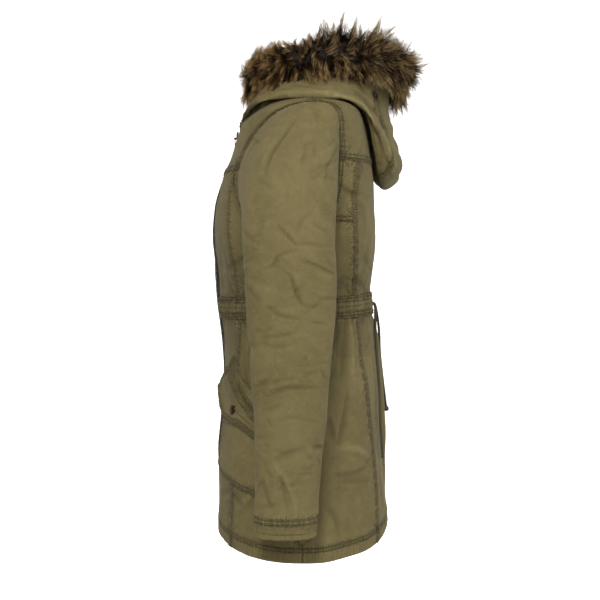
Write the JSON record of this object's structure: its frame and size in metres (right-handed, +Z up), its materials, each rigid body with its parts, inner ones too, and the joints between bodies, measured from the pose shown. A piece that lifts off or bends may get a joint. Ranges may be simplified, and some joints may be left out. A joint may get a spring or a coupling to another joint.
{
  "type": "fur trimmed parka",
  "caption": "Hip-length olive cotton parka with a gathered drawcord waist, slanted flap pockets and a thrown-back hood edged with fur.",
  "frame": {"origin": "between the shoulders at the height where the shoulder seams meet the neck seam, where the wearer holds the garment up", "axes": "+Z up, -Y is the front with the zip, +X is the wearer's left"},
  "size_m": [0.566, 0.3436, 0.8113],
  "materials": {
    "cotton_twill": "washed olive cotton twill",
    "pile_fur": "long brown pile",
    "zip_tape": "black woven tape",
    "dark_bronze": "dark bronze",
    "cord": "braided dark olive cord",
    "bead_plastic": "dark green"
  },
  "bodies": {
    "parka": {"back": "cotton_twill", "back_yoke": "cotton_twill", "cuff_left": "cotton_twill", "cuff_right": "cotton_twill", "drawcord_bead_right": "bead_plastic", "drawcord_eyelet_left": "dark_bronze", "drawcord_eyelet_right": "dark_bronze", "drawcord_knot_left": "cord", "drawcord_left": "cord", "drawcord_right": "cord", "front_left": "cotton_twill", "front_right": "cotton_twill", "front_yoke_left": "cotton_twill", "front_yoke_right": "cotton_twill", "fur_trim": "pile_fur", "hood_centre": "cotton_twill", "hood_eyelet_left": "dark_bronze", "hood_eyelet_right": "dark_bronze", "hood_left": "cotton_twill", "hood_right": "cotton_twill", "pocket_band_left": "cotton_twill", "pocket_band_right": "cotton_twill", "pocket_flap_left": "cotton_twill", "pocket_flap_right": "cotton_twill", "pocket_left": "cotton_twill", "pocket_right": "cotton_twill", "side_front_left": "cotton_twill", "side_front_right": "cotton_twill", "side_left": "cotton_twill", "side_right": "cotton_twill", "skirt_back": "cotton_twill", "skirt_front_left": "cotton_twill", "skirt_front_right": "cotton_twill", "skirt_side_back_left": "cotton_twill", "skirt_side_back_right": "cotton_twill", "skirt_side_front_left": "cotton_twill", "skirt_side_front_right": "cotton_twill", "sleeve_left": "cotton_twill", "sleeve_right": "cotton_twill", "snap_left": "dark_bronze", "snap_right": "dark_bronze", "upper_side_back_left": "cotton_twill", "upper_side_back_right": "cotton_twill", "waist_casing": "cotton_twill", "zip_slider": "dark_bronze", "zip_tape_left": "zip_tape", "zip_tape_right": "zip_tape"},
    "pull_tab": {"zip_pull_tab": "dark_bronze"}
  },
  "joints": [
    {"name": "pull_tab_hinge", "type": "hinge", "parent": "parka", "child": "pull_tab", "pos_m": [0, -0.10591, -0.07669], "axis": [-1, 0, 0], "range_deg": [0, 150]}
  ]
}
